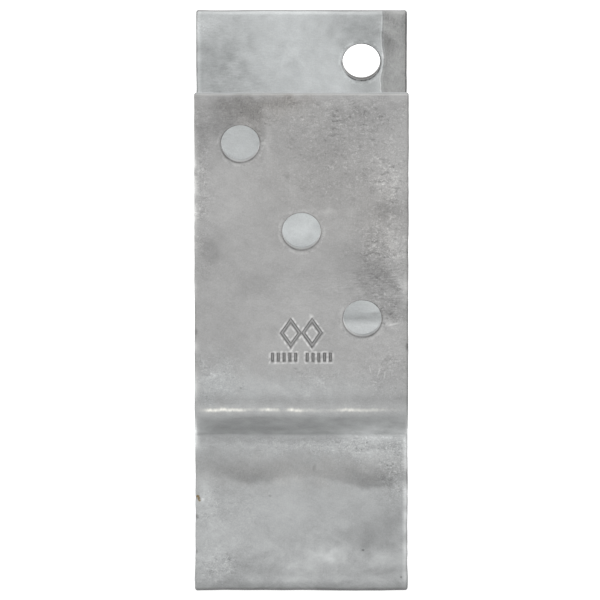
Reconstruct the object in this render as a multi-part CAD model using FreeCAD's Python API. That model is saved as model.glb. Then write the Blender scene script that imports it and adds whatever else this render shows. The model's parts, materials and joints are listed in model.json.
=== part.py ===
"""Post anchor: a galvanised steel strap folded into a U that holds the foot of a timber post.

Two upright legs stand either side of a 90 mm post and take three bolts or coach screws each, on a
diagonal. Below the legs the strap steps inward over a sloping shoulder on each side, then runs down as
two closer shanks that a rounded bottom web joins. The shanks and the web are set in concrete.

The real piece is one strip of steel. It is written here as the seven stretches between its bend lines,
which meet face to face.

Frame: millimetres, origin at the middle of the underside of the web, X across the strap's width,
Y from the front leg (-Y) to the rear leg (+Y), Z up.
"""

import math
import os

import FreeCAD
import Part
from FreeCAD import Vector

# Driving dimensions of the strip and of the folded shape
STRAP_WIDTH = 70.0
THICKNESS = 4.0
POST_GAP = 90.0  # clear distance between the two legs
TOTAL_HEIGHT = 178.5
INSET = 15.0  # how far each shank stands inside its leg
SLOPE_ANGLE = 50.0  # the shoulder's slope, in degrees from the vertical
SHOULDER_CORNER = 68.9  # height where the leg's and the slope's outer faces would meet
BEND_INNER = 4.0  # inner radius of every bend
EDGE_ROUND = 0.6  # rounding of the strip's long edges
END_ROUND = 0.5  # rounding of its two sheared ends, the tops of the legs

# Bolt holes, seen from outside each leg: one step is one hole down and one across
HOLE_DIAMETER = 13.0  # clearance for M12
HOLE_COUNT = 3
FIRST_HOLE_DOWN = 17.0  # from the leg's top end
HOLE_STEP_DOWN = 30.0
HOLE_STEP_ACROSS = 20.0

# A plain batch mark pressed into the front leg: two hollow diamonds over a row of tally strokes
MARK_DEPTH = 0.4
MARK_CENTRE_HEIGHT = 96.6
DIAMOND_HALF_WIDTH = 2.9
DIAMOND_HALF_HEIGHT = 4.3
DIAMOND_LINE = 1.1  # width of the pressed line, across it
DIAMOND_SPACING = 7.0
TALLY_HEIGHT = 88.3
TALLY_STROKE = (0.9, 3.0)  # width and height of one stroke
TALLY_PITCH = 1.9
TALLY_COUNT = 10
TALLY_LONG_GAP_AFTER = 5  # the row is two groups of this many strokes

# Worked out from the driving dimensions
BEND_OUTER = BEND_INNER + THICKNESS
LEG_OUTER_Y = POST_GAP / 2 + THICKNESS
SHANK_OUTER_Y = LEG_OUTER_Y - INSET
SLOPE = math.radians(SLOPE_ANGLE)
LEG_BOTTOM = SHOULDER_CORNER + BEND_OUTER * math.tan(SLOPE / 2)
SHOULDER_BOTTOM = SHOULDER_CORNER - INSET / math.tan(SLOPE) - BEND_INNER * math.tan(SLOPE / 2)
SHANK_BOTTOM = BEND_OUTER
X_AXIS = Vector(1, 0, 0)
Y_AXIS = Vector(0, 1, 0)
Z_AXIS = Vector(0, 0, 1)
SPARE = 1.0  # how far a cutting shape reaches beyond the faces that it cuts


def strip_section(outer_y, z):
    """The strip's cross-section at a height, as a horizontal face with its four long edges rounded.

    outer_y is the face on the strip's outer side, at the front, and the thickness runs to +Y.
    """
    half, r = STRAP_WIDTH / 2, EDGE_ROUND
    y0, y1 = outer_y, outer_y + THICKNESS
    corners = [(-half, y0), (half, y0), (half, y1), (-half, y1)]
    inward = [(1, 1), (-1, 1), (-1, -1), (1, -1)]
    edges, joints = [], []
    for number, ((x, y), (dx, dy)) in enumerate(zip(corners, inward)):
        along_x = Vector(x + dx * r, y, z)
        along_y = Vector(x, y + dy * r, z)
        bulge = r * (1 - math.sqrt(0.5))
        middle = Vector(x + dx * bulge, y + dy * bulge, z)
        first, last = (along_y, along_x) if number % 2 == 0 else (along_x, along_y)
        edges.append(Part.Arc(first, middle, last).toShape())
        joints.append((first, last))
    for number in range(4):
        start = joints[number][1]
        end = joints[(number + 1) % 4][0]
        edges.append(Part.makeLine(start, end))
    return Part.Face(Part.Wire(Part.__sortEdges__(edges)))


def straight(outer_y, bottom, top):
    """An upright flat stretch of the strip on the front side."""
    return strip_section(outer_y, bottom).extrude(Vector(0, 0, top - bottom))


def leg():
    """The front leg: a flat plate with its sheared top end rounded, its bolt holes and no mark yet."""
    plate = straight(-LEG_OUTER_Y, LEG_BOTTOM, TOTAL_HEIGHT)
    end_edges = [e for e in plate.Edges if min(v.Z for v in e.Vertexes) > TOTAL_HEIGHT - END_ROUND]
    plate = plate.makeFillet(END_ROUND, end_edges)
    for number in range(HOLE_COUNT):
        x = (number - (HOLE_COUNT - 1) / 2) * HOLE_STEP_ACROSS
        z = TOTAL_HEIGHT - FIRST_HOLE_DOWN - number * HOLE_STEP_DOWN
        start = Vector(x, -LEG_OUTER_Y - SPARE, z)
        drill = Part.makeCylinder(HOLE_DIAMETER / 2, THICKNESS + 2 * SPARE, start, Y_AXIS)
        plate = plate.cut(drill)
    return plate


def shoulder():
    """The front shoulder: a bend inward, the slope, and a bend back to upright, as one swept stretch."""
    upper_pivot = Vector(0, -LEG_OUTER_Y + BEND_OUTER, LEG_BOTTOM)
    lower_pivot = Vector(0, -SHANK_OUTER_Y - BEND_INNER, SHOULDER_BOTTOM)
    upper = strip_section(-LEG_OUTER_Y, LEG_BOTTOM).revolve(upper_pivot, X_AXIS, SLOPE_ANGLE)
    lower = strip_section(-SHANK_OUTER_Y, SHOULDER_BOTTOM).revolve(lower_pivot, X_AXIS, SLOPE_ANGLE)
    slope_length = INSET / math.sin(SLOPE) - (BEND_OUTER + BEND_INNER) * math.tan(SLOPE / 2)
    slope_section = strip_section(-LEG_OUTER_Y, LEG_BOTTOM)
    slope_section.rotate(upper_pivot, X_AXIS, SLOPE_ANGLE)
    downhill = Vector(0, math.sin(SLOPE), -math.cos(SLOPE))
    slope = slope_section.extrude(downhill * slope_length)
    return upper.fuse([slope, lower]).removeSplitter()


def shank():
    """The front shank: the flat stretch below the shoulder."""
    return straight(-SHANK_OUTER_Y, SHANK_BOTTOM, SHOULDER_BOTTOM)


def web():
    """The bottom web with the bend at each side of it."""
    pivot = Vector(0, -SHANK_OUTER_Y + BEND_OUTER, SHANK_BOTTOM)
    bend = strip_section(-SHANK_OUTER_Y, SHANK_BOTTOM).revolve(pivot, X_AXIS, 90)
    flat_section = strip_section(-SHANK_OUTER_Y, SHANK_BOTTOM)
    flat_section.rotate(pivot, X_AXIS, 90)
    flat = flat_section.extrude(Vector(0, 2 * (SHANK_OUTER_Y - BEND_OUTER), 0))
    return bend.fuse([flat, turned(bend)]).removeSplitter()


def pressed(points):
    """A pocket of the mark's depth under a closed outline of (x, z) points on the front leg."""
    corners = [Vector(x, -LEG_OUTER_Y - SPARE, z) for x, z in points]
    outline = Part.makePolygon(corners + corners[:1])
    return Part.Face(outline).extrude(Vector(0, MARK_DEPTH + SPARE, 0))


def diamond(x, half_width, half_height):
    """The four corners of an upright diamond about (x, MARK_CENTRE_HEIGHT)."""
    z = MARK_CENTRE_HEIGHT
    return [(x - half_width, z), (x, z - half_height), (x + half_width, z), (x, z + half_height)]


def mark_pockets():
    """The pockets of the batch mark, to be cut from the front leg."""
    pockets = []
    corner_angle = math.atan2(DIAMOND_HALF_HEIGHT, DIAMOND_HALF_WIDTH)
    narrower = DIAMOND_LINE / math.sin(corner_angle)
    shorter = DIAMOND_LINE / math.cos(corner_angle)
    for side in (-1, 1):
        x = side * DIAMOND_SPACING / 2
        outer = pressed(diamond(x, DIAMOND_HALF_WIDTH, DIAMOND_HALF_HEIGHT))
        island = pressed(diamond(x, DIAMOND_HALF_WIDTH - narrower, DIAMOND_HALF_HEIGHT - shorter))
        pockets.append(outer.cut(island))
    wide, tall = TALLY_STROKE
    row_length = TALLY_COUNT * TALLY_PITCH  # first stroke's middle to last stroke's, with the wide gap
    for number in range(TALLY_COUNT):
        extra = TALLY_PITCH if number >= TALLY_LONG_GAP_AFTER else 0
        x = number * TALLY_PITCH + extra - row_length / 2
        z = TALLY_HEIGHT
        box = [(x - wide / 2, z - tall / 2), (x + wide / 2, z - tall / 2)]
        box += [(x + wide / 2, z + tall / 2), (x - wide / 2, z + tall / 2)]
        pockets.append(pressed(box))
    return pockets


def turned(shape):
    """The same stretch on the other side: half a turn about the vertical axis."""
    other = shape.copy()
    other.rotate(Vector(0, 0, 0), Z_AXIS, 180)
    return other


def one_solid(shape):
    """The only solid in a shape, checked for validity."""
    assert len(shape.Solids) == 1, "a stretch of the strip must be one solid"
    solid = shape.Solids[0]
    assert solid.isValid(), "a stretch of the strip isn't a valid solid"
    return solid


def build():
    """Every stretch of the strip by name."""
    plain_leg = leg()
    return {
        "front_leg": plain_leg.cut(mark_pockets()),
        "rear_leg": turned(plain_leg),
        "front_shoulder": shoulder(),
        "rear_shoulder": turned(shoulder()),
        "front_shank": shank(),
        "rear_shank": turned(shank()),
        "base_web": web(),
    }


def main():
    os.makedirs("parts", exist_ok=True)
    total = 0.0
    for name, shape in build().items():
        solid = one_solid(shape)
        solid.exportStep(f"parts/{name}.step")
        box = solid.optimalBoundingBox(False)
        total += solid.Volume
        print(
            f"{name:15s} {solid.Volume:10.1f} mm3  x {box.XMin:.2f}..{box.XMax:.2f}"
            f"  y {box.YMin:.2f}..{box.YMax:.2f}  z {box.ZMin:.2f}..{box.ZMax:.2f}"
        )
    print(f"total {total:.1f} mm3")


main()
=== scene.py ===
# %% [markdown]
# # A post anchor folded from one strip of galvanised steel
#
# A post anchor holds the foot of a timber post. Its two legs stand either side of the post and take
# bolts on a diagonal, and the narrower stem below them is set in concrete. The real thing is one strip
# of 4 mm steel, punched flat, folded, and then dipped in molten zinc.
#
# The lesson follows the same order: rule the strip flat, punch its holes, press its mark, fold it, and
# give it its coat of zinc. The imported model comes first, because every size is read from it.

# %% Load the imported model
import json
import math

import bmesh
import bpy
import numpy as np
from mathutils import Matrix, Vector


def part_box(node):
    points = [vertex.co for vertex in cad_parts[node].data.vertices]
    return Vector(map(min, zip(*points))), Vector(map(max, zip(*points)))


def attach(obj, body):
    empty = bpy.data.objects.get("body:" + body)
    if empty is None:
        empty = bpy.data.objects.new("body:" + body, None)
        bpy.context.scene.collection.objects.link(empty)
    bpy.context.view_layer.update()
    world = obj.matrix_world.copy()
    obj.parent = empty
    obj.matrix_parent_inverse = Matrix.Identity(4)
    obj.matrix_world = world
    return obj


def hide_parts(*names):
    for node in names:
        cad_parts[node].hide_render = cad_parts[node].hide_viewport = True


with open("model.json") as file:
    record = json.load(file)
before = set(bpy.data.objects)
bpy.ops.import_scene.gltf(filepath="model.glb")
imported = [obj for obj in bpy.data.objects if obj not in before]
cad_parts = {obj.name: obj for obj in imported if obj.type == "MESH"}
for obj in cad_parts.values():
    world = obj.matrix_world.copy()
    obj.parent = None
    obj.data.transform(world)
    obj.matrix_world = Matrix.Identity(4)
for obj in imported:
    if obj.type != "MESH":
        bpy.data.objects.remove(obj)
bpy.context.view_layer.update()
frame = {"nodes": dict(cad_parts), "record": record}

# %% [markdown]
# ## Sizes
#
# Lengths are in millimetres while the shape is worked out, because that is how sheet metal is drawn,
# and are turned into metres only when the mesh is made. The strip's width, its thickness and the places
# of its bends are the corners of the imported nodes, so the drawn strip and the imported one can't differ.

MM = 0.001


def node_box(name):
    """A node's lowest and highest corners, in millimetres."""
    low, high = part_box(name)
    return np.array(low) / MM, np.array(high) / MM


leg_low, leg_high = node_box("front_leg")
shank_low, shank_high = node_box("front_shank")

WIDTH = leg_high[0] - leg_low[0]
THICK = leg_high[1] - leg_low[1]
TOP = leg_high[2]
LEG_FOOT = leg_low[2]
SHANK_TOP = shank_high[2]
BEND_OUTER = shank_low[2]
BEND_INNER = BEND_OUTER - THICK
LEG_FACE = leg_low[1]
SHANK_FACE = shank_low[1]
INSET = SHANK_FACE - LEG_FACE
HALF_WIDTH = WIDTH / 2

holes = [m for m in frame["record"]["mounts"] if m["kind"] == "bore"]
HOLE_COAT = 0.2  # what the zinc takes off a hole's radius
HOLE_RADIUS = holes[0]["dims"]["r_mm"] - HOLE_COAT
print(f"strip {WIDTH:.1f} x {THICK:.1f}, leg face y {LEG_FACE:.1f}, shank face y {SHANK_FACE:.1f}")
print(f"height {TOP:.1f}, {len(holes)} holes of radius {HOLE_RADIUS} once coated")

# %% [markdown]
# ## The fold line
#
# Seen from the side, the strip is straight runs joined by arcs. A path like that can be drawn as a
# curve and swept, but a swept mesh can't have holes in it. So the path is kept as a function instead:
# give it a distance along the strip, and it says where that point lies and which way the strip faces.
# Flat points then fold into place all at once, holes and stamped mark included.
#
# The angle of the shoulder isn't stored anywhere, so it is found from the leg's foot, the shank's top
# and the inset, by halving an interval until the two bends and the slope fit between them.

# %% Find the shoulder's slope


def shoulder_drop(angle):
    """Height between the two bend lines, for an inset reached at this angle from the vertical.

    The sharp corners are inset / tan(angle) apart, and each bend's tangent points lie
    radius * tan(angle / 2) beyond its sharp corner.
    """
    return INSET / np.tan(angle) + (BEND_OUTER + BEND_INNER) * np.tan(angle / 2)


low_angle, high_angle = math.radians(20), math.radians(80)
HALVINGS = 60  # enough to use up every digit of a double
for _ in range(HALVINGS):
    middle = (low_angle + high_angle) / 2
    if shoulder_drop(middle) > LEG_FOOT - SHANK_TOP:
        low_angle = middle
    else:
        high_angle = middle
SLOPE = middle
print(f"shoulder slopes {math.degrees(SLOPE):.2f} degrees from the vertical")

# %% Lay out the fold line
BEND_MIDDLE = (BEND_OUTER + BEND_INNER) / 2
slope_run = INSET / math.sin(SLOPE) - (BEND_OUTER + BEND_INNER) * math.tan(SLOPE / 2)
quarter = math.pi / 2
web_run = -2 * SHANK_FACE - 2 * BEND_OUTER

# Each stretch: its length at mid-thickness, and how far it turns to the left in radians
half_stretches = [
    (TOP - LEG_FOOT, 0.0),
    (BEND_MIDDLE * SLOPE, SLOPE),
    (slope_run, 0.0),
    (BEND_MIDDLE * SLOPE, -SLOPE),
    (SHANK_TOP - BEND_OUTER, 0.0),
    (BEND_MIDDLE * quarter, quarter),
]
stretches = half_stretches + [(web_run, 0.0)] + half_stretches[::-1]
lengths = np.array([length for length, _ in stretches])
turns = np.array([turn for _, turn in stretches])
starts = np.concatenate([[0.0], np.cumsum(lengths)])
LENGTH = starts[-1]
headings = -quarter + np.concatenate([[0.0], np.cumsum(turns)])
print(f"flat strip is {LENGTH:.1f} long, in {len(stretches)} stretches")


def run_along(place, heading, bend, distance):
    """Where a path gets to: an arc of curvature bend, or a straight line where bend is nought."""
    safe = np.where(bend == 0, 1.0, bend)
    arc_y = (np.sin(heading + bend * distance) - np.sin(heading)) / safe
    arc_z = (np.cos(heading) - np.cos(heading + bend * distance)) / safe
    line_y, line_z = np.cos(heading) * distance, np.sin(heading) * distance
    step = np.where(bend == 0, [line_y, line_z], [arc_y, arc_z])
    return place + step.T


corners = np.zeros((len(stretches) + 1, 2))
corners[0] = LEG_FACE + THICK / 2, TOP
bends = turns / lengths
for i, length in enumerate(lengths):
    corners[i + 1] = run_along(corners[i], headings[i], bends[i], length)
print(f"the fold ends at y {corners[-1][0]:.2f}, z {corners[-1][1]:.2f}")


def fold(across, along, deep):
    """Flat strip to folded strip, in millimetres.

    across is x. along is measured from the front leg's top end at mid-thickness. deep runs from 0 on
    the outer face to THICK on the inner one. The point is the fold line's point at along, moved
    sideways from it, towards the inside of the fold, by deep less half the thickness.
    """
    which = np.clip(np.searchsorted(starts, along, side="right") - 1, 0, len(stretches) - 1)
    distance = along - starts[which]
    line = run_along(corners[which], headings[which], bends[which], distance)
    facing = headings[which] + bends[which] * distance
    offset = deep - THICK / 2
    y = line[:, 0] - np.sin(facing) * offset
    z = line[:, 1] + np.cos(facing) * offset
    return np.stack([across, y, z], 1)


# %% [markdown]
# ## Ruling the flat strip
#
# The flat strip is a grid of lines about a millimetre apart. Lines crowd together at the strip's edges
# in a ladder that follows a quarter circle, so that the edge can be rounded, and some lines are placed
# exactly on the borders of the squares that will hold the holes and on the border of the stamped patch.
# A grid like this keeps every face four-sided and even, which a Boolean cut would not.

# %% Rule the lines
STEP = 1.1  # about how far apart the lines are
EDGE_ROUND = 0.75  # radius of the outline's edges
RIM_ROUND = 0.4  # radius of the holes' rims
CORNER_ROUND = 0.85  # radius of the outline's corners, a little more than its edges'
HOLE_SQUARE = 9.0  # half the side of the square patch round each hole
STAMP_HALF = 11.0  # half the width of the finely ruled patch
STAMP_TOP, STAMP_FOOT = 102.3, 85.3  # heights of the patch's ends
TOUCH = 1e-4  # lines closer than this count as one

# Distances from the outline: five up the edge's quarter circle, then the corner's
ladder = np.append(EDGE_ROUND * (1 - np.cos(np.linspace(0, quarter, 5))), CORNER_ROUND)


def to_along(height, rear=False):
    """Distance along the strip of a point at this height on a leg."""
    return LENGTH - (TOP - height) if rear else TOP - height


hole_places = [
    (m["pos_m"][0] / MM, to_along(m["pos_m"][2] / MM, rear=m["pos_m"][1] > 0)) for m in holes
]


def ruled(breaks, step):
    """Lines through every break, with equal steps of about the stated size between them."""
    breaks = np.unique(np.round(breaks, 5))
    counts = np.maximum(np.round(np.diff(breaks) / step).astype(int), 1)
    spans = [np.linspace(a, b, n + 1)[:-1] for a, b, n in zip(breaks, breaks[1:], counts)]
    return np.append(np.concatenate(spans), breaks[-1])


across_breaks = [-STAMP_HALF, STAMP_HALF, *(ladder - HALF_WIDTH), *(HALF_WIDTH - ladder)]
across_breaks += [x + side * HOLE_SQUARE for x, _ in hole_places for side in (-1, 1)]
along_breaks = [to_along(STAMP_TOP), to_along(STAMP_FOOT), *ladder, *(LENGTH - ladder), *starts]
along_breaks += [s + side * HOLE_SQUARE for _, s in hole_places for side in (-1, 1)]
across_lines = ruled(across_breaks, STEP)
along_lines = ruled(along_breaks, STEP)
print(f"{len(across_lines)} lines across, {len(along_lines)} along")

# %% [markdown]
# ## Sheets, hole patches and walls
#
# The skin of the strip is two ruled sheets, one for each face, with walls between them round the
# outline and round each hole. A point of the skin is three numbers: how far across, how far along, and
# its level, 0 on the outer face and 1 on the inner one. Parts that share points are welded at the end,
# which is simple because shared points have equal numbers.

# %% Make the pieces of the flat skin
skin_points, skin_faces = [], []


def add(across, along, level, faces):
    """Adds points and the faces between them to the skin. Faces are rows of indices into the points."""
    offset = sum(len(p) for p in skin_points)
    level = np.broadcast_to(level, np.shape(across))
    skin_points.append(np.stack([across, along, level], -1).reshape(-1, 3))
    skin_faces.append(faces + offset)


def grid_quads(rows, columns):
    """The quads of a grid whose points are numbered row by row."""
    ids = np.arange(rows * columns).reshape(rows, columns)
    quads = np.stack([ids[:-1, :-1], ids[:-1, 1:], ids[1:, 1:], ids[1:, :-1]], -1)
    return quads.reshape(-1, 4)


def sheet(level, windows):
    """One face of the strip: every cell of the ruling but those whose middle lies in a window."""
    across, along = np.meshgrid(across_lines, along_lines)
    quads = grid_quads(*across.shape)
    middle_across = across.ravel()[quads].mean(1)
    middle_along = along.ravel()[quads].mean(1)
    open_cell = np.zeros(len(quads), bool)
    for left, right, first, last in windows:
        inside = (middle_across > left) & (middle_across < right)
        open_cell |= inside & (middle_along > first) & (middle_along < last)
    add(across, along, level, quads[~open_cell])


def lines_between(lines, low, high):
    """The ruled lines from low to high, both ends included."""
    return lines[(lines > low - TOUCH) & (lines < high + TOUCH)]


def frame_loop(left, right, first, last):
    """The points where the ruling crosses a rectangle's outline, in order round it."""
    u = lines_between(across_lines, left, right)
    s = lines_between(along_lines, first, last)
    loop_u = [u[:-1], np.full(len(s) - 1, u[-1]), u[:0:-1], np.full(len(s) - 1, u[0])]
    loop_s = [np.full(len(u) - 1, s[0]), s[:-1], np.full(len(u) - 1, s[-1]), s[:0:-1]]
    return np.stack([np.concatenate(loop_u), np.concatenate(loop_s)], 1)


def ring_quads(rings, count):
    """The quads between rings of equal counts, each ring closed on itself."""
    ids = np.arange(rings * count).reshape(rings, count)
    ahead = np.roll(ids, -1, 1)
    quads = np.stack([ids[:-1], ahead[:-1], ahead[1:], ids[1:]], -1)
    return quads.reshape(-1, 4)


def rim_circle(centre, count, radius):
    """Points round a circle, starting at the corner direction where the frame's loop starts."""
    angle = -0.75 * math.pi + np.arange(count) * 2 * math.pi / count
    return np.stack([centre[0] + radius * np.cos(angle), centre[1] + radius * np.sin(angle)], 1)


def hole_patch(centre, level):
    """The ring between a hole's rim and the square round it.

    The rim's ladder of circles comes first. After it, each ring is a mix of the last circle and the
    square's outline, so that circles turn into the square.
    """
    u, s = centre
    outline = frame_loop(u - HOLE_SQUARE, u + HOLE_SQUARE, s - HOLE_SQUARE, s + HOLE_SQUARE)
    count = len(outline)
    rim_steps = RIM_ROUND * (1 - np.cos(np.linspace(0, quarter, 4)))
    circles = [rim_circle(centre, count, HOLE_RADIUS + step) for step in rim_steps]
    last = rim_circle(centre, count, HOLE_RADIUS + 2 * RIM_ROUND)
    mixes = [last + (outline - last) * part for part in (0.0, 0.35, 0.7, 1.0)]
    rings = np.array(circles + mixes)
    add(rings[..., 0], rings[..., 1], level, ring_quads(len(rings), count))
    return circles[0]


WALL_LEVELS = np.linspace(0, 1, 4)


def wall(loop):
    """The wall under a closed loop of flat points, from the outer face to the inner one."""
    rows = len(WALL_LEVELS)
    across = np.broadcast_to(loop[:, 0], (rows, len(loop)))
    along = np.broadcast_to(loop[:, 1], (rows, len(loop)))
    level = np.broadcast_to(WALL_LEVELS[:, None], across.shape)
    add(across, along, level, ring_quads(rows, len(loop)))


# %% [markdown]
# ## A finer patch for the stamp
#
# The stamped mark has lines a millimetre wide, too fine for the general ruling. So one rectangle of the
# front leg's outer face is left out of the sheet and filled with a grid six times as fine. A band of
# triangles joins the two rulings: each coarse step faces six fine ones.

# %% Fill the stamp's window with a fine grid
FINER = 6
BAND = 0.5  # width of the band of triangles


def zip_band(coarse, fine):
    """Triangles between a coarse row of points and a fine one that has FINER steps to each of its."""
    steps = len(coarse) - 1
    points = np.concatenate([coarse, fine])
    c = np.arange(steps)[:, None]
    f = steps + 1 + c * FINER + np.arange(FINER)[None, :]
    near = c + (np.arange(FINER)[None, :] >= FINER // 2)
    fans = np.stack([near, f, f + 1], -1).reshape(-1, 3)
    half_way = f[:, FINER // 2]
    links = np.stack([c[:, 0], half_way, c[:, 0] + 1], -1)
    add(points[:, 0], points[:, 1], 0.0, np.concatenate([fans, links]))


def stamp_patch():
    """The fine grid and the four bands round it."""
    first, last = to_along(STAMP_TOP), to_along(STAMP_FOOT)
    u = lines_between(across_lines, -STAMP_HALF, STAMP_HALF)
    s = lines_between(along_lines, first, last)
    fine_u = np.linspace(u[0] + BAND, u[-1] - BAND, (len(u) - 1) * FINER + 1)
    fine_s = np.linspace(s[0] + BAND, s[-1] - BAND, (len(s) - 1) * FINER + 1)
    across, along = np.meshgrid(fine_u, fine_s)
    add(across, along, 0.0, grid_quads(*across.shape))
    for edge, fine_edge in ((s[0], fine_s[0]), (s[-1], fine_s[-1])):
        zip_band(
            np.stack([u, np.full(len(u), edge)], 1),
            np.stack([fine_u, np.full(len(fine_u), fine_edge)], 1),
        )
    for edge, fine_edge in ((u[0], fine_u[0]), (u[-1], fine_u[-1])):
        zip_band(
            np.stack([np.full(len(s), edge), s], 1),
            np.stack([np.full(len(fine_s), fine_edge), fine_s], 1),
        )


# %% Put the flat skin together
hole_windows = [
    (u - HOLE_SQUARE, u + HOLE_SQUARE, s - HOLE_SQUARE, s + HOLE_SQUARE) for u, s in hole_places
]
stamp_window = (-STAMP_HALF, STAMP_HALF, to_along(STAMP_TOP), to_along(STAMP_FOOT))
sheet(0.0, hole_windows + [stamp_window])
sheet(1.0, hole_windows)
stamp_patch()
for place in hole_places:
    rim = hole_patch(place, 0.0)
    hole_patch(place, 1.0)
    wall(rim)
wall(frame_loop(-HALF_WIDTH, HALF_WIDTH, 0.0, LENGTH))

all_points = np.concatenate(skin_points)
_, first_use, renumber = np.unique(
    np.round(all_points, 4), axis=0, return_index=True, return_inverse=True
)
flat = all_points[first_use]
renumber = renumber.ravel()
faces = [row for group in skin_faces for row in renumber[group].tolist()]
print(f"flat skin: {len(all_points)} points welded to {len(flat)}, {len(faces)} faces")

# %% [markdown]
# ## Rounding, stamping and the coat's unevenness
#
# Punched and sheared edges are never sharp once they have been through a zinc bath: the coat rounds
# them, and thickens and thins along them. These are all small moves of the flat points, so they are
# sums of simple formulas: a quarter circle at every edge, a pressed groove for the mark, and gentle
# waves for the coat. The waves are sums of sines whose directions come from a seeded generator, so the
# strip is the same each time.

# %% Helpers for smooth unevenness


def ripple(a, b, wavelength, seed, waves=14):
    """A smooth uneven surface of about unit height: many sine waves in different directions, added.

    Each wave's length is the stated one times a number from 0.6 to 1.6.
    """
    rng = np.random.default_rng(seed)
    turn = rng.uniform(0, 2 * math.pi, waves)
    phase = rng.uniform(0, 2 * math.pi, waves)
    rate = 2 * math.pi / (wavelength * rng.uniform(0.6, 1.6, waves))
    total = np.zeros(np.shape(a))
    for t, p, k in zip(turn, phase, rate):
        total = total + np.sin(k * (a * np.cos(t) + b * np.sin(t)) + p)
    return total / math.sqrt(waves / 2)


def soft_step(value, low, high):
    """0 below low, 1 above high, and a smooth S between them."""
    t = np.clip((value - low) / (high - low), 0, 1)
    return t * t * (3 - 2 * t)


def hump(value, centre, half_width):
    """A bell: 1 at the centre, falling to about a third at half_width from it."""
    return np.exp(-(((value - centre) / half_width) ** 2))


# %% Distances to the edges and to the holes
across, along, level = flat.T
from_side = HALF_WIDTH - np.abs(across)
from_end = np.minimum(along, LENGTH - along)
from_edge = np.minimum(from_side, from_end)
from_hole = np.full(len(flat), np.inf)
for u, s in hole_places:
    from_hole = np.minimum(from_hole, np.hypot(across - u, along - s) - HOLE_RADIUS)
front = along < LENGTH / 2
outside = level < 0.5


def rounding(distance, radius):
    """How far the face drops at a distance from a rounded edge: a quarter circle of the radius."""
    inward = np.clip(radius - distance, 0, radius)
    return radius - np.sqrt(radius**2 - inward**2)


# %% Shape the stamp
# The mark is generic: two hollow diamonds over two groups of five tally strokes.
MARK_HEIGHT = 96.6  # the diamonds' middle
DIAMOND = (2.9, 4.3)  # half width, half height
DIAMOND_OFFSET = 3.5  # from the middle of the strip
LINE_HALF = 0.55  # half the width of a diamond's line
TALLY_HEIGHT = 88.3  # the strokes' middle
TALLY_HALF = (0.45, 1.5)  # half width, half height
TALLY_PITCH = 1.9
TALLY_COUNT = 10
STAMP_DEPTH = 0.45
LIP_HEIGHT = 0.12  # the metal that a stroke pushes up beside itself


def diamond_distance(x, z):
    """Distance from a diamond's outline: |x|/a + |z|/b - 1, times the factor that makes it a length."""
    a, b = DIAMOND
    return (np.abs(x) / a + np.abs(z) / b - 1) * a * b / math.hypot(a, b)


def stroke_distance(x, z):
    """Distance outside a small upright bar, negative within it."""
    return np.maximum(np.abs(x) - TALLY_HALF[0], np.abs(z) - TALLY_HALF[1])


mark_z = TOP - along
line_distance = np.minimum(
    np.abs(diamond_distance(across - DIAMOND_OFFSET, mark_z - MARK_HEIGHT)),
    np.abs(diamond_distance(across + DIAMOND_OFFSET, mark_z - MARK_HEIGHT)),
) - LINE_HALF
for number in range(TALLY_COUNT):
    gap = TALLY_PITCH if number >= TALLY_COUNT // 2 else 0.0
    x = number * TALLY_PITCH + gap - TALLY_COUNT * TALLY_PITCH / 2
    line_distance = np.minimum(line_distance, stroke_distance(across - x, mark_z - TALLY_HEIGHT))
on_mark_face = front & (level == 0)
groove = on_mark_face * (1 - soft_step(line_distance, -0.32, 0.12))
lip = on_mark_face * hump(line_distance, 0.42, 0.3)

# %% Move the flat points
SIDE_COAT = 0.12  # what the zinc adds to each side
BEAD_REACH = 1.6  # how far in from the outline the coat stands proud
CUT_REACH = 2.5  # how far in from the outline its own unevenness is felt
FRONT_END_CUT, REAR_END_CUT = -0.45, 0.25  # one end is cut a little short, the other a little long
STAND_HEIGHT = 40  # the fold is eased up over this height, so that its web stands on the ground

face_seed = np.where(outside, 0.0, 400.0)  # shifts the waves, so that the two faces differ
coat = (
    0.055 * ripple(across + face_seed, along, 34, seed=3)
    + 0.022 * ripple(across + face_seed, along, 11, seed=4)
    + 0.008 * ripple(across + face_seed, along, 4.5, seed=5)
)
near_edge = np.exp(-from_edge / BEAD_REACH)
edge_bead = near_edge * (0.04 + 0.02 * ripple(across, along + face_seed, 9, seed=6))
deep = rounding(from_edge, EDGE_ROUND)
deep = np.maximum(deep, rounding(from_hole, RIM_ROUND))
deep = deep + level * (THICK - 2 * deep)
outward = np.where(level == 0, -1.0, np.where(level == 1, 1.0, 0.0))
deep = deep + outward * (coat + edge_bead)
deep = deep + STAMP_DEPTH * groove - LIP_HEIGHT * lip

# Round the four corners of the outline. A point m inside the outline stays m inside the rounded one.
side_gap = np.minimum(from_side, CORNER_ROUND)
end_gap = np.minimum(from_end, CORNER_ROUND)
inner = np.minimum(side_gap, end_gap)
outer = np.maximum(side_gap, end_gap)
reach = CORNER_ROUND - inner
turn = (math.pi / 4) * (CORNER_ROUND - outer) / np.maximum(reach, 1e-9)
new_inner = CORNER_ROUND - reach * np.cos(turn)
new_outer = CORNER_ROUND - reach * np.sin(turn)
in_corner = (from_side < CORNER_ROUND) & (from_end < CORNER_ROUND)
new_side = np.where(side_gap <= end_gap, new_inner, new_outer)
new_end = np.where(side_gap <= end_gap, new_outer, new_inner)
from_side = np.where(in_corner, new_side, from_side)
from_end = np.where(in_corner, new_end, from_end)

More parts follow.
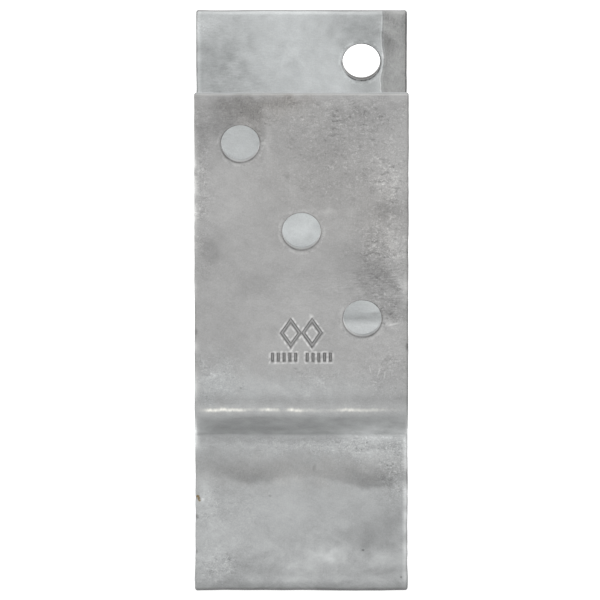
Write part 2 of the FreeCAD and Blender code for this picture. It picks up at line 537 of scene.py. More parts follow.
# The sheared sides wander a little, and widen at the two bottom bends, where the metal is squeezed.
wander = 0.04 * ripple(along, np.sign(across) * 90, 18, seed=8)
wander = wander + 0.018 * ripple(along, np.sign(across) * 90, 5, seed=9)
bottom_bends = hump(along, starts[5] + lengths[5] / 2, 6) + hump(along, starts[7] + lengths[7] / 2, 6)
bulge = bottom_bends * (0.20 + 0.15 * level)
side_growth = (SIDE_COAT + wander + bulge) * np.exp(-from_side / CUT_REACH)
new_across = np.sign(across) * (HALF_WIDTH - from_side + side_growth)
end_wander = 0.05 * ripple(across, face_seed, 24, seed=10) + 0.02 * ripple(across, face_seed, 6, seed=11)
end_wander = end_wander + np.where(front, FRONT_END_CUT, REAR_END_CUT)
new_end_gap = from_end - end_wander * np.exp(-from_end / CUT_REACH)
new_along = np.where(front, new_end_gap, LENGTH - new_end_gap)

folded = fold(new_across, new_along, deep)
lowest = folded[:, 2].min()
folded[:, 2] -= lowest * soft_step(STAND_HEIGHT - folded[:, 2], 0, STAND_HEIGHT)
print(f"folded: lowest {folded.min(0).round(2)}, highest {folded.max(0).round(2)}")

# %% Make the strap's mesh


def build_mesh(name, points_mm, faces):
    """A mesh object at the origin from points in millimetres, with its faces turned outwards."""
    mesh = bpy.data.meshes.new(name)
    mesh.from_pydata((points_mm * MM).tolist(), [], faces)
    work = bmesh.new()
    work.from_mesh(mesh)
    bmesh.ops.recalc_face_normals(work, faces=work.faces)
    volume = work.calc_volume(signed=True)
    if volume < 0:
        bmesh.ops.reverse_faces(work, faces=work.faces)
    open_edges = sum(not e.is_manifold for e in work.edges)
    work.to_mesh(mesh)
    work.free()
    mesh.shade_smooth()
    piece = bpy.data.objects.new(name, mesh)
    bpy.context.scene.collection.objects.link(piece)
    triangles = sum(len(f) - 2 for f in faces)
    print(f"{name}: {triangles} triangles, {open_edges} open edges, {abs(volume) * 1e6:.1f} cm3")
    return piece


strap = build_mesh("galvanised_strap", folded, faces)
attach(strap, "root")
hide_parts(*frame["nodes"])

# %% [markdown]
# ## Where the coat differs
#
# A zinc coat is never even. It is smooth where the melt ran off, frosty where it froze slowly, dull
# where it was handled, and bright where a tool or a neighbour rubbed it. Other places hold painted light
# and shade: highlights along the edges and on the shoulders' crests, a painted reflection on the rear
# leg's inner face, and shade on the front shoulder's slope, in two bows below it and on the web's bend.
# Those places are made from soft spots, each a bell-shaped blob with a place, a size and a strength. The
# spots are added up on the mesh's own points and stored as attributes that the material reads. The fine
# grain inside them comes from noise in the material.

# %% Helpers that paint soft spots
height = folded[:, 2]


def on_face(front_side, outer_side):
    """True on one of the strip's four main faces and False on the others."""
    return (front == front_side) & (outside == outer_side)


def spots(places, where):
    """The sum of soft spots (x, z, half width, half height, strength), in millimetres.

    Each spot is strength * exp(-distance squared), in half widths. Its outline is made ragged by
    moving every point a little before its distance is taken, less for small spots.
    """
    total = np.zeros(len(flat))
    push_x = ripple(across, height, 7, seed=21)
    push_z = ripple(across, height, 6, seed=22)
    for x, z, wide, tall, strength in places:
        push = min(1.3, 0.22 * min(wide, tall))
        reach = ((across + push * push_x - x) / wide) ** 2 + ((height + push * push_z - z) / tall) ** 2
        total += strength * np.exp(-reach)
    return total * where


FRONT_OUT = on_face(True, True)
FRONT_IN = on_face(True, False)
REAR_IN = on_face(False, False)
REAR_OUT = on_face(False, True)

# %% Light and dark places on the front leg and shank
tone = spots(
    [
        (-17, 174, 8, 5, -0.95),  # handling smudges under the top end
        (-29, 168, 7, 7, -0.65),
        (-3, 176, 7, 2.5, -0.60),
        (-27, 175.5, 8, 3, -0.45),
        (16, 171.5, 8, 3, -0.42),
        (28, 173, 6, 4, -0.20),
        (0, 163, 34, 10, -0.30),
        (-14, 165, 3, 6, -0.45),
        (29, 139, 5, 3, -0.75),  # dull patches down the right side
        (26, 115, 6, 7, -0.62),
        (29, 104, 6, 4, -0.55),
        (17, 121, 12, 12, -0.30),
        (-30, 125, 4, 6, -0.55),
        (-9, 114, 18, 5, -0.22),
        (-24, 100, 8, 7, -0.18),
        (10, 150, 16, 12, -0.22),
        (14, 133, 5, 4, 0.35),
        (6, 138.3, 8, 1.0, 0.40),
        (-10.8, 162, 1.1, 8, 0.55),
        (-6, 148, 6, 9, 0.14),
        (-22, 140, 10, 8, 0.10),
        (30, 127, 4, 7, 0.55),
        (29, 148, 5, 8, 0.45),
        (32.7, 113, 1.6, 2.2, 0.75),
        (30, 99.8, 4, 1.2, 0.50),
        (-29, 82, 4, 3, 0.40),
        (-4, 77, 28, 4, 0.40),  # paler just above the bend
        (28, 79, 9, 5, -0.15),
        (24, 55.4, 8, 1.6, 0.45),  # frosty shelf just under the shoulder
        (29, 52.8, 4, 0.9, -0.55),
        (24, 50.2, 7, 1.3, 0.60),
        (2, 53, 30, 2.0, 0.30),
        (-30, 50, 4, 2.5, -0.35),
        (31, 44, 3, 5, 0.35),
        (-7, 44, 5, 4, 0.12),
        (22, 21, 8, 5.5, -0.65),  # clouds near the bottom
        (29, 27, 6, 6, -0.25),
        (4, 12, 26, 6, 0.16),
        (-29, 24, 5, 12, 0.35),
        (31, 30, 4, 9, -0.30),
        (-3, 33, 24, 7, 0.10),
        (9, 14.5, 6, 2.5, 0.75),
        (25, 13, 8, 3, 0.20),
        (-13, 15, 8, 4, 0.18),
        (0, 21, 7, 5, -0.12),
        (27, 9, 8, 2.0, -0.45),
        (-34, 25, 3, 20, 0.25),
        (-31, 34, 2.5, 5, 0.65),
        (-28, 11, 4, 3.5, 0.15),
        (-20, 9, 14, 3, -0.18),
        (0, 21, 30, 7, 0.10),
        (-12, 9, 12, 2, -0.12),
    ],
    FRONT_OUT,
)
# Painted shade: the grey band where the bend turns away.
tone -= 0.38 * hump(height, 73.6, 1.9) * FRONT_OUT  # the grey band where the bend turns away
# Painted light on the shoulder's slope: a painted reflection on its right half, and a painted highlight at
# its left edge.
tone += spots([(26, 60.5, 10, 3.8, 0.75), (10, 61, 8, 3, 0.2), (-10, 62, 14, 5, -0.15)], FRONT_OUT)
tone += spots([(-33, 58, 2, 5, 0.4), (-22, 66, 11, 4, 0.15)], FRONT_OUT)
# Painted highlight along the slope's foot.
tone += 0.42 * hump(height, 58.2, 1.6) * FRONT_OUT  # the slope's foot
# Painted shade under the left half of the slope's foot.
tone -= 0.38 * hump(height, 55.0, 1.7) * (1 - soft_step(across, 6, 26)) * FRONT_OUT
# Painted highlights along the foot, mostly on the right.
tone += spots([(26, 58.8, 12, 1.8, 0.60), (-20, 53.2, 30, 0.8, 0.15)], FRONT_OUT)
tone -= 0.10 * hump(height, 128, 34) * FRONT_OUT
# Painted shade on the slope, near its top on the right and lower down on the left.
tone -= spots([(22, 68.5, 13, 2.2, 0.30), (-22, 60, 12, 4, 0.20)], FRONT_OUT)


# Two shallow dark bows below the shoulder, painted shade: their lower edge is a wave.
bow_wave = np.cos(2 * math.pi * (across - 3) / 39)
bow_edge = 40.2 - 0.035 * across + 1.7 * bow_wave + 0.4 * ripple(across, 0 * across, 5, seed=25)
blur = 1.5 - 0.03 * across
bows = soft_step(height, bow_edge - 0.3 * blur, bow_edge + blur)
bows = bows * (1 - soft_step(height, bow_edge + 3, bow_edge + 11))
tone -= bows * (0.55 - 0.28 * bow_wave) * FRONT_OUT

# %% Light and dark places on the other faces
# On the rear leg's inner face, the darker left and right sides are a painted reflection, and the two thin
# dark spots low on the right are painted shade along the shoulder's bend.
tone += spots(
    [
        (-30, 160, 10, 20, -0.95),
        (-16, 150, 10, 14, -0.35),
        (-16, 173, 8, 5, -0.25),
        (2, 156, 14, 13, 0.05),
        (21, 174, 13, 8, -0.95),
        (22, 156, 5, 12, -0.75),
        (31, 174, 3, 7, 0.35),
        (-18, 131, 9, 9, -0.20),
        (0, 103, 12, 9, 0.52),
        (21, 78, 10, 4, 0.25),
        (26, 73.2, 5, 0.6, -0.9),
        (20, 72, 12, 0.9, -0.5),
    ],
    REAR_IN,
)
tone += spots(
    [
        (12, 170, 16, 6, -0.7),
        (-22, 150, 9, 14, 0.3),
        (18, 112, 10, 9, -0.5),
        (-8, 92, 16, 5, 0.25),
        (-12, 42, 15, 6, -0.4),
        (20, 22, 10, 8, 0.3),
    ],
    REAR_OUT,
)
tone += spots(
    [(-14, 150, 14, 12, -0.4), (20, 120, 12, 14, 0.25), (10, 40, 16, 10, -0.3), (-16, 96, 12, 6, 0.2)],
    FRONT_IN,
)

# %% Measures that the material turns into thin lines
# A line thinner than the ruling can't be painted on points, but its distance can: distance changes
# evenly between points, so the material can draw a sharp line wherever it passes a chosen value.
# A painted reflection on the rear leg's inner face: a thin light and dark line where an edge is mirrored
# in it, with a darker strip beyond. Only its distance is stored.
reflected_edge = 27.2 + 0.25 * ripple(height, 0 * height, 14, seed=33)
reflected_edge = reflected_edge + 0.08 * ripple(height, 0 * height, 3, seed=34)
reflected_edge = reflected_edge + 9 * soft_step(100 - height, 0, 25)  # it runs out at the edge above the shoulder
from_reflected_edge = np.where(REAR_IN, across - reflected_edge, -50.0)
on_wall = (level > 0) & (level < 1)
in_hole_wall = on_wall & (from_hole < 0.1)
from_hole = np.where(in_hole_wall, -1.0, from_hole)  # so that the rim's line stops inside the hole

# %% Frosty, cloudy, warm, glossy and streaky places
frost = 0.10 + spots(
    [
        (24, 158, 14, 14, 0.30),
        (8, 156, 16, 16, 0.35),
        (30, 148, 5, 8, 0.9),
        (28, 127, 8, 9, 1.0),
        (28, 107, 8, 9, 0.6),
        (27, 84, 7, 8, 0.55),
        (16, 171, 22, 6, 0.45),
        (-18, 172, 16, 6, 0.30),
        (-29, 81, 8, 7, 0.6),
        (5, 81, 8, 4, 0.35),
        (-33, 145, 3, 22, 0.7),
        (25, 52, 12, 5, 1.0),
        (31, 42, 4, 8, 0.9),
        (-31, 33, 4, 6, 0.6),
        (-28, 11, 6, 5, 0.9),
        (-22, 24, 10, 16, 0.2),
        (2, 53, 26, 2.4, 0.55),
    ],
    FRONT_OUT,
)
frost -= 0.06 * (~outside)
frost += spots([(-26, 130, 10, 20, 0.9), (20, 165, 12, 9, 0.6), (-20, 45, 14, 8, 0.5)], REAR_OUT)
frost += spots([(20, 120, 14, 20, 0.4), (-24, 95, 8, 12, 0.5)], FRONT_IN)
frost += spots([(30, 174, 6, 4, 0.10), (-32, 174, 4, 3, 0.4)], REAR_IN)

cloudy = 0.25 + 0.75 * soft_step(24 - height, 0, 10) * outside
cloudy += spots([(-24, 160, 12, 16, 0.4), (16, 174, 12, 5, 0.4)], REAR_IN)
cool = soft_step(88 - height, 0, 26) * 0.75 * outside + 0.9 * (~outside)
cool += spots([(-28, 82, 9, 9, 0.5), (-5, 78, 26, 5, 0.4)], FRONT_OUT)
warm = spots(
    [(-12, 174, 14, 4, 0.7), (-3, 176.5, 5, 2, 0.6), (-17, 167, 5, 4, 0.5), (0, 44, 40, 5, 0.35)],
    FRONT_OUT,
)
warm += spots([(8, 150, 24, 22, 0.3), (26, 134, 8, 14, 0.35)], FRONT_OUT)
# The strip beyond the painted reflection is a little warmer, and so are the rear holes' walls.
warm += 0.40 * (from_reflected_edge > 0) + 0.9 * (in_hole_wall & ~front)
warm += spots([(8, 165, 18, 8, 0.6), (-10, 100, 20, 15, 0.4)], REAR_OUT)
gloss = 0.55 * soft_step(62 - height, 0, 8) * outside + 0.1 * (~outside)
streak = spots(
    [(27, 111, 9, 10, 1.0), (10, 113, 26, 8, 0.4), (27, 53, 9, 3, 1.0), (18, 176, 18, 1.6, 1.0)],
    FRONT_OUT,
)
streak += spots([(29, 126, 6, 10, 0.5), (-4, 74, 30, 4, 0.25), (-28, 173, 9, 5, 0.5)], FRONT_OUT)
streak += spots([(-22, 156, 14, 22, 0.55), (24, 72, 10, 8, 0.4), (6, 165, 12, 5, 0.3)], REAR_IN)
streak += spots([(0, 120, 30, 30, 0.6)], REAR_OUT)

# %% The outline's painted shade and highlights, and the crest's painted highlight
# Along its sheared sides the strip ends in a thin dark line, painted shade on the rounded edge. In
# places a painted highlight takes its place, where the zinc's bead along the edge would catch the light.
left_side = across < 0
edge_highlight_places = [
    (True, 145, 17, 1.0),
    (True, 112, 3, 0.5),
    (True, 92, 2, 0.5),
    (True, 78, 5, 0.80),
    (True, 57, 5, 1.35),
    (False, 112, 3, 0.6),
    (False, 50, 6, 1.3),
    (False, 33, 6, 1.2),
    (False, 17, 12, 0.8),
]
edge_highlight = sum(power * hump(height, z, tall) * (left_side == side) for side, z, tall, power in edge_highlight_places)
edge_highlight = edge_highlight * FRONT_OUT * (1 + 0.25 * ripple(height, 0 * height, 6, seed=35))
edge_highlight = np.clip(edge_highlight, 0, 1.3)
rear_share = soft_step(along, LENGTH / 2 - 20, LENGTH / 2 + 20)  # passes from 0 to 1 across the web
forward = np.where(outside, 1 - rear_share, rear_share)
outline = 0.45 + 0.30 * rear_share * (~outside) - 0.32 * left_side * forward
outline = outline * np.where(left_side, 1 - np.clip(edge_highlight, 0, 1), 1.0)
edge_highlight_place = np.where(left_side, 0.25, 0.70)
rim = 0.60 * edge_highlight * hump(from_side, edge_highlight_place, 0.65) - outline * hump(from_side, 0, 0.5)
# Painted highlight: a light line just inside the left edge of the rear leg's inner face.
rim += 0.22 * hump(from_side, 1.0, 0.4) * (REAR_IN & left_side)
# Painted shade: the web's bend darkens towards the ground, most in its last few millimetres.
rim -= 0.34 * soft_step(6.5 - height, 0, 5.5) * outside  # the web's bend darkens towards the ground
rim -= 0.85 * soft_step(2.7 - height, 0, 1.7) * outside
# Painted highlight on the top rims.
rim += hump(from_end, 0.1, 0.45) * (0.42 * FRONT_OUT + 0.16 * REAR_IN)  # top rims catch the light
rim -= 0.30 * ((level < 0.2) & ~front & (from_end < 0.3))

# The crest of each shoulder's upper bend carries a painted highlight, bright in patches. Only its
# distance is stored, and how bright it is: the material draws the line itself.
to_top = np.minimum(along, LENGTH - along)
past_crest = to_top - (starts[1] + lengths[1] * 0.40)
patches = [(-27.5, 5.5, 0.85), (-20, 3, 0.35), (16, 5, 0.50), (24, 4, 0.18), (2, 4, 0.15)]
patches += [(-12.8, 0.8, 0.5), (-10.6, 0.8, 0.8), (-8.4, 0.8, 0.7), (-3.6, 0.9, 0.8), (-1.2, 1.2, 1.1)]
crest = 0.08 + sum(strength * hump(across, x, wide) for x, wide, strength in patches)
crest = crest * outside * soft_step(from_side, 0.8, 4.0)

# %% Each face's own lightness
# Each face has its own mean lightness. The inner faces are lighter than the outer ones, and the rear
# leg's inner face lighter still: painted light that makes up for the shade inside the fold.
OUTER_SHADE = 0.320
SHANK_DROP = 0.006  # how much darker the outer face is below the shoulder
INNER_SHADE = 0.51
REAR_GAIN = 0.125  # how much brighter the inner face is on the rear leg
WALL_SHADE = 0.36
# The rear leg's top end is lighter than the other walls: a painted highlight on a face that looks up.
REAR_TOP_SHADE = 0.44
# The front holes' walls are light, painted light where light from above falls into the holes. The rear
# holes' walls are dark.
FRONT_HOLE_SHADE, REAR_HOLE_SHADE = 0.50, 0.17

shade = np.where(outside, OUTER_SHADE, INNER_SHADE + REAR_GAIN * rear_share)
shade = shade - SHANK_DROP * soft_step(56 - height, 0, 8) * outside
shade = np.where(on_wall, WALL_SHADE, shade)
shade = np.where(on_wall & ~front & (from_end < 0.1), REAR_TOP_SHADE, shade)
shade = np.where(in_hole_wall, np.where(front, FRONT_HOLE_SHADE, REAR_HOLE_SHADE), shade)
# Painted shade on the walls of the stamp's grooves, the grooves a little darker, and a painted highlight
# on the lips beside them, broken up along their length.
groove_edge = on_mark_face * hump(line_distance, -0.12, 0.22)
lip_highlight = np.clip(0.55 + 0.40 * ripple(across, mark_z, 1.8, seed=41), 0, 1.3)
tone = tone - 0.9 * groove_edge - 0.22 * groove + 1.6 * lip * lip_highlight

# %% [markdown]
# ## Storing the painted places on the mesh
#
# An attribute is one number for each point, by name. The material picks them up with Attribute nodes.

# %% Store the attributes


def store(piece, name, values):
    """Writes one number for each point of a piece, under a name."""
    attribute = piece.data.attributes.new(name, "FLOAT", "POINT")
    attribute.data.foreach_set("value", np.asarray(values, np.float32))
    print(f"{name}: from {np.min(values):.2f} to {np.max(values):.2f}")


store(strap, "shade", shade)
store(strap, "tone", np.clip(tone, -1.5, 1.5))
store(strap, "rim", np.clip(rim, -0.9, 0.6))
store(strap, "frost", np.clip(frost, 0, 1))
store(strap, "outer", outside * 1.0)
store(strap, "cloudy", np.clip(cloudy, 0, 1))
store(strap, "cool", np.clip(cool, 0, 1))
store(strap, "warm", np.clip(warm, 0, 1))
store(strap, "gloss", np.clip(gloss, 0, 1))
store(strap, "streak", np.clip(streak, 0, 1))
store(strap, "crest", np.clip(crest, 0, 1))
store(strap, "past_crest", np.clip(past_crest, -20, 20))
store(strap, "from_hole", np.clip(from_hole, -1.0, 9.0))
store(strap, "from_reflected_edge", from_reflected_edge)
store(strap, "ring", np.where(front, 0.40, 1.0))

# %% [markdown]
# ## The zinc material
#
# Zinc that has been outdoors for a few weeks is a metal under a thin dull film, so it is neither a
# mirror nor a paint. The shader is metallic with a high roughness. Its colour starts from each face's
# own grey, which the painted places push lighter or darker and warmer or cooler. Noise at several
# scales then breaks it up: clouds, mottling, frosty specks where the frost attribute asks for them, and
# a fine grain. The same noise drives roughness and a slight bump, so that light catches what the colour
# shows.

# %% Helpers for node trees


class Tree:
    """A material's node tree, with short calls for the nodes that this lesson uses."""

    def __init__(self, name):
        self.material = bpy.data.materials.new(name)
        self.material.use_nodes = True
        self.nodes = self.material.node_tree.nodes
        self.links = self.material.node_tree.links
        self.nodes.clear()
        self.place = self.add("ShaderNodeTexCoord").outputs["Object"]

    def add(self, kind, inputs=None, **settings):
        """A node of a kind, with settings as attributes and inputs as numbers or links."""
        node = self.nodes.new(kind)
        for key, value in settings.items():
            setattr(node, key, value)
        for key, value in (inputs or {}).items():
            if isinstance(value, bpy.types.NodeSocket):
                self.links.new(value, node.inputs[key])
            else:
                node.inputs[key].default_value = value
        return node

    def maths(self, operation, a, b=0.0):
        """One arithmetic step."""
        return self.add("ShaderNodeMath", {0: a, 1: b}, operation=operation).outputs[0]

    def times(self, a, b):
        """a * b."""
        return self.maths("MULTIPLY", a, b)

    def total(self, *terms):
        """The sum of several values, as a chain of additions."""
        result = terms[0]
        for term in terms[1:]:
            result = self.maths("ADD", result, term)
        return result

    def about(self, value, weight, centre=0.5):
        """(value - centre) * weight."""
        return self.times(self.maths("SUBTRACT", value, centre), weight)

    def noise(self, size_mm, detail=3.0, roughness=0.55, stretch=(1, 1, 1), turn=0.0, warp=0.0):
        """Noise about 0 to 1 whose features are about size_mm long.

        stretch lengthens it along the axes, turn leans it in the face's plane, in degrees, and warp
        curls it.
        """
        scale = tuple(1 / (size_mm * MM * s) for s in stretch)
        lean = (0, math.radians(turn), 0)
        leaned = self.add("ShaderNodeMapping", {"Vector": self.place, "Rotation": lean})
        scaled = self.add("ShaderNodeMapping", {"Vector": leaned.outputs[0], "Scale": scale})
        inputs = {"Vector": scaled.outputs[0], "Scale": 1.0, "Detail": detail, "Roughness": roughness}
        inputs["Distortion"] = warp
        return self.add("ShaderNodeTexNoise", inputs).outputs["Fac"]

    def spread(self, value, low, high, to_low=0.0, to_high=1.0):
        """Maps low..high to to_low..to_high along a soft curve, clamped."""
        inputs = {0: value, 1: low, 2: high, 3: to_low, 4: to_high}
        node = self.add("ShaderNodeMapRange", inputs, interpolation_type="SMOOTHSTEP")
        return node.outputs[0]

    def line(self, distance, centre, half_width):
        """1 on a thin line where distance equals centre, fading to 0 at half_width either side."""
        off = self.maths("ABSOLUTE", self.maths("SUBTRACT", distance, centre))
        return self.spread(off, 0.0, half_width, 1.0, 0.0)

    def mark(self, x, z, half_wide, half_tall, lean=0.0, strength=1.0):
        """A small mark on the outer face of the front leg or shank, in millimetres and degrees.

        It is strength at the place and fades to 0 at the half sizes.
        """
        y = LEG_FACE if z > LEG_FOOT else SHANK_FACE
        settings = {
            "Vector": self.place,
            "Location": (x * MM, y * MM, z * MM),
            "Rotation": (0, math.radians(lean), 0),
            "Scale": (half_wide * MM, THICK / 2 * MM, half_tall * MM),
        }
        local = self.add("ShaderNodeMapping", settings, vector_type="TEXTURE").outputs[0]
        reach = self.add("ShaderNodeVectorMath", {0: local}, operation="LENGTH").outputs["Value"]
        return self.spread(reach, 0.2, 1.0, strength, 0.0)

    def painted(self, name):
        """One of the painted attributes."""
        node = self.add("ShaderNodeAttribute", attribute_name=name, attribute_type="GEOMETRY")
        return node.outputs["Fac"]

    def blend(self, amount, a, b):
        """A mix of two colours."""
        node = self.add("ShaderNodeMix", {0: amount, 6: a, 7: b}, data_type="RGBA")
        return node.outputs[2]

    def tinted(self, a, b):
        """Two colours multiplied."""
        node = self.add("ShaderNodeMix", {0: 1.0, 6: a, 7: b}, data_type="RGBA", blend_type="MULTIPLY")
        return node.outputs[2]


# %% Build the zinc
# Small marks: x, z, half width, half height, lean, strength
PITS = [
    (20.4, 16.5, 0.75, 0.6, 0, 0.9),
    (33, 7, 0.6, 0.6, 0, 0.8),
    (-10.4, 35.4, 0.8, 0.6, 0, 0.5),
    (-17, 35.8, 0.8, 0.5, 0, 0.4),
    (4.2, 45, 0.9, 1.6, 10, 0.35),
    (-19.9, 77.7, 0.6, 0.6, 0, 0.6),
    (-2, 84.4, 1.0, 0.5, 0, 0.5),
    (-17, 30, 0.7, 1.1, 0, 0.35),
    (-34.6, 28.2, 1.0, 1.4, 0, 0.9),
    (-34.8, 16, 0.8, 1.0, 0, 0.8),
    (34.6, 92, 0.8, 1.8, 0, 0.7),
    (-34.6, 97, 0.8, 1.6, 0, 0.6),
]
NICKS = [
    (-12.5, 161.7, 1.3, 0.8, 0, 0.6),
    (30, 99.6, 3.2, 0.5, -14, 0.7),
    (25.5, 83.5, 0.35, 2.8, 18, 0.6),
    (27.3, 82, 0.4, 2.2, 8, 0.6),
    (22.6, 84, 0.35, 2.0, -12, 0.5),
    (-32.6, 34.2, 0.9, 0.8, 0, 1.0),
]
RUST = [
    (-34.3, 35.0, 1.2, 1.3, 20, 1.0),
    (-33.7, 34.0, 0.9, 1.3, 0, 0.8),
    (-34.9, 28.6, 0.7, 1.0, 0, 0.4),
]
DARKEST_CHANGE = 0.12  # no place gets darker than this share of its face's own shade
LIGHTEST = 0.92


def zinc():
    """Dull hot-dip galvanised steel."""
    t = Tree("galvanised_zinc")
    clouds = t.noise(20, detail=4, roughness=0.6, turn=35, stretch=(1.6, 1, 1), warp=0.6)
    mottle = t.noise(5.0, detail=6, roughness=0.68, warp=0.4)
    billows = t.noise(9, detail=5, roughness=0.6, turn=25, stretch=(1.4, 1, 1), warp=1.0)
    clusters = t.spread(t.noise(4.5, detail=4, roughness=0.6), 0.38, 0.62)
    flecks = t.noise(0.85, detail=4, roughness=0.85, stretch=(1.3, 1, 1))
    dull_flecks = t.noise(1.3, detail=4, roughness=0.8, stretch=(1.8, 1, 1))
    grain = t.noise(0.50, detail=2, roughness=0.7)
    streaks = t.noise(0.60, detail=3, roughness=0.7, stretch=(4.5, 1, 0.8), turn=3, warp=0.4)
    brushed = t.noise(0.55, detail=3, roughness=0.7, stretch=(1, 1, 3.5), turn=-12)
    wisps = t.noise(1.6, detail=4, roughness=0.6, stretch=(4.0, 1, 0.8), turn=-28)

    frost, crest = t.painted("frost"), t.painted("crest")
    from_hole = t.painted("from_hole")
    frosted = t.times(frost, t.total(t.times(clusters, 0.50), 0.38))
    bright_flecks = t.times(t.spread(flecks, 0.49, 0.66), frosted)
    dark_flecks = t.times(t.spread(dull_flecks, 0.49, 0.34), frosted)
    scratched = t.times(t.about(streaks, 1.0), t.painted("streak"))
    blotched = t.times(t.painted("tone"), t.total(t.times(mottle, 1.5), 0.30))

    # Thin features: the dark line round every hole, the painted reflection on the rear leg's inner face,
    # and the crest's painted highlight, whose line swells and thins along the bend.
    broken = t.spread(t.noise(3.0, detail=4, roughness=0.7), 0.38, 0.62)
    rim_line = t.times(t.line(from_hole, 0.1, 0.5), t.total(t.times(broken, 0.6), 0.4))
    reflected_edge_distance = t.painted("from_reflected_edge")
    reflected_edge_light = t.line(reflected_edge_distance, -0.45, 0.45)
    reflected_edge_dark = t.line(reflected_edge_distance, 0.12, 0.45)
    beyond_reflected_edge = t.spread(reflected_edge_distance, 0.0, 0.8)
    swell = t.noise(1.5, detail=2, roughness=0.6, stretch=(1, 40, 40))
    bend = t.total(t.painted("past_crest"), t.about(swell, 1.2))
    core = t.line(bend, 0.0, 0.80)
    halo = t.line(bend, 0.0, 2.0)
    drops = t.spread(t.noise(2.0, detail=4, roughness=0.7, stretch=(1, 40, 40)), 0.38, 0.60, 0.50, 1.0)
    crest_highlight = t.times(crest, t.total(t.times(t.times(core, drops), 0.65), t.times(halo, 0.08)))

    pits = t.total(*[t.mark(*place) for place in PITS])
    nicks = t.total(*[t.mark(*place) for place in NICKS])

    change = t.total(
        t.times(blotched, 0.36),
        t.about(clouds, 0.30),
        t.times(t.about(mottle, 0.26), t.total(t.painted("outer"), 1.0)),
        t.times(t.about(billows, 0.75), t.painted("cloudy")),
        t.about(wisps, 0.14),
        t.times(t.about(grain, 1.0), t.total(t.times(frost, 0.60), 0.26)),
        t.times(bright_flecks, 0.75),
        t.times(dark_flecks, -0.48),
        t.times(scratched, 0.90),
        t.times(t.times(rim_line, t.painted("ring")), -0.90),
        t.times(t.line(from_hole, 1.1, 0.8), t.about(broken, 0.30, 0.35)),
        t.times(t.about(brushed, 0.75), t.painted("warm")),
        # The painted reflection: a light and a dark line, and a darker strip beyond them.
        t.times(reflected_edge_light, 0.05),
        t.times(reflected_edge_dark, -0.30),
        t.times(beyond_reflected_edge, -0.38),
        t.times(pits, -0.45),
        t.times(nicks, 0.45),
        t.painted("rim"),
        1.0,
    )
    value = t.times(t.painted("shade"), t.maths("MAXIMUM", change, DARKEST_CHANGE))
    value = t.maths("MINIMUM", value, LIGHTEST)
    grey = t.add("ShaderNodeCombineColor", {0: value, 1: value, 2: value}).outputs[0]
    tint = t.blend(t.painted("cool"), (1.0, 0.998, 0.990, 1), (0.965, 0.995, 1.0, 1))
    tint = t.blend(t.painted("warm"), tint, (1.0, 0.972, 0.935, 1))
    coloured = t.tinted(grey, tint)
    rust = t.total(*[t.mark(*place) for place in RUST])
    rusty = t.spread(t.total(rust, t.times(t.about(flecks, 3.0), rust)), 0.25, 1.1)
    coloured = t.blend(rusty, coloured, (0.17, 0.13, 0.07, 1))
    # Painted highlight on the shoulders' crests.
    coloured = t.blend(crest_highlight, coloured, (0.96, 0.94, 0.86, 1))

    rough = t.total(
        0.50,
        t.about(mottle, 0.30),
        t.times(t.painted("gloss"), -0.14),
        t.times(frost, 0.08),
        t.times(crest_highlight, -0.12),
    )
    relief = t.total(
        t.times(mottle, 1.0),
        t.times(bright_flecks, 0.5),
        t.times(dark_flecks, -0.3),
        t.times(scratched, 0.5),
        t.times(reflected_edge_light, 0.5),
        t.times(grain, 0.12),
        t.times(pits, -0.8),
        t.times(crest_highlight, 0.5),
    )
    bump = t.add("ShaderNodeBump", {"Strength": 0.55, "Distance": 0.12 * MM, "Height": relief})
    shader = t.add(
        "ShaderNodeBsdfPrincipled",
        {"Base Color": coloured, "Roughness": rough, "Normal": bump.outputs[0]},
    )
    shader.inputs["Metallic"].default_value = 0.85
    output = t.add("ShaderNodeOutputMaterial")
    t.links.new(shader.outputs[0], output.inputs["Surface"])
    return t.material


strap.data.materials.append(zinc())
print("zinc made, with", len(strap.data.materials[0].node_tree.nodes), "nodes")

# %% [markdown]
# ## Floor, light and camera
#
# Small steel parts are often shown on a light table: a sheet of white acrylic lit from below, which
# swallows the shadow that the part would throw. Broad soft light from all round fills the steel evenly,
# and a long lens from a few metres away keeps its sides parallel.

# %% Floor and light
GLOW = 1.0  # the floor's own light
SKY = 0.92  # the light from all round


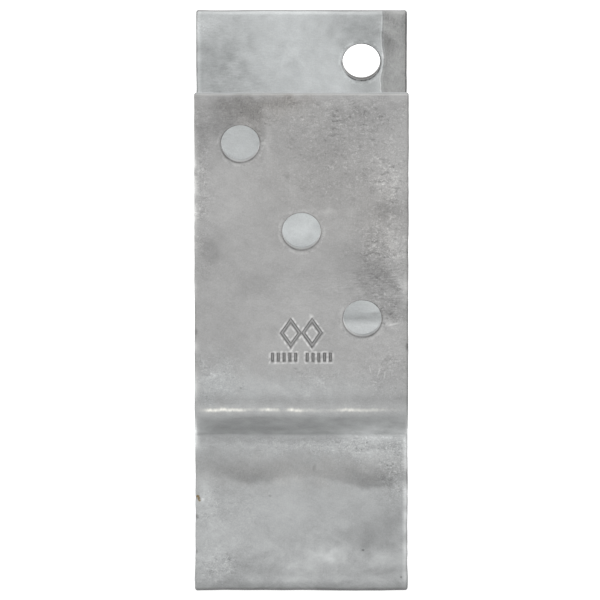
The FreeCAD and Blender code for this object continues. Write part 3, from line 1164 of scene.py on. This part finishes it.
def light_table():
    """A wide white floor under the web, glowing a little."""
    reach = 9.0
    mesh = bpy.data.meshes.new("floor")
    square = [(-reach, -reach, 0), (reach, -reach, 0), (reach, reach, 0), (-reach, reach, 0)]
    mesh.from_pydata(square, [], [(0, 1, 2, 3)])
    floor = bpy.data.objects.new("floor", mesh)
    bpy.context.scene.collection.objects.link(floor)
    t = Tree("light_table")
    fleck = t.spread(t.noise(60, detail=2), 0.3, 0.7, 0.0, 1.0)
    colour = t.blend(fleck, (0.44, 0.44, 0.44, 1), (0.46, 0.46, 0.46, 1))
    shader = t.add("ShaderNodeBsdfPrincipled", {"Base Color": colour})
    shader.inputs["Roughness"].default_value = 0.9
    shader.inputs["Emission Color"].default_value = (1, 1, 1, 1)
    shader.inputs["Emission Strength"].default_value = GLOW
    output = t.add("ShaderNodeOutputMaterial")
    t.links.new(shader.outputs[0], output.inputs["Surface"])
    mesh.materials.append(t.material)


def soft_light(name, place, aim, size, power):
    """A square area light at a place, turned towards a point."""
    lamp = bpy.data.lights.new(name, "AREA")
    lamp.shape = "SQUARE"
    lamp.size = size
    lamp.energy = power
    light = bpy.data.objects.new(name, lamp)
    light.location = place
    light.rotation_euler = (Vector(aim) - Vector(place)).to_track_quat("-Z", "Y").to_euler()
    bpy.context.scene.collection.objects.link(light)


light_table()
heart = (0, 0, 0.09)  # about the middle of the strap
soft_light("over", (0.0, -0.5, 2.0), heart, 1.6, 1.5)
soft_light("left", (-1.7, -0.7, 0.7), heart, 0.7, 4.5)
soft_light("right", (1.8, -0.6, 0.7), heart, 0.7, 4)
soft_light("behind", (0.3, 1.8, 1.3), heart, 1.2, 2)

world = bpy.data.worlds.new("studio")
world.use_nodes = True
backdrop = world.node_tree.nodes["Background"]
backdrop.inputs["Color"].default_value = (1, 1, 1, 1)
backdrop.inputs["Strength"].default_value = SKY
bpy.context.scene.world = world
bpy.context.scene.view_settings.view_transform = "Standard"

# %% Camera
CAMERA_ELEVATION = math.radians(17.5)
CAMERA_DISTANCE = 4.5
AIM = Vector((-0.00048, 0, 0.09258))
FRAME_WIDTH_AT_AIM = 0.1991  # how much of the scene's width the camera sees at the aim point

camera_data = bpy.data.cameras.new("camera")
camera_data.sensor_width = 36
camera_data.lens = camera_data.sensor_width * CAMERA_DISTANCE / FRAME_WIDTH_AT_AIM
camera_data.clip_end = 100
camera = bpy.data.objects.new("camera", camera_data)
back = Vector((0, -math.cos(CAMERA_ELEVATION), math.sin(CAMERA_ELEVATION)))
camera.location = AIM + back * CAMERA_DISTANCE
camera.rotation_euler = (-back).to_track_quat("-Z", "Y").to_euler()
bpy.context.scene.collection.objects.link(camera)
bpy.context.scene.camera = camera
print(f"lens {camera_data.lens:.0f} mm at {CAMERA_DISTANCE} m")
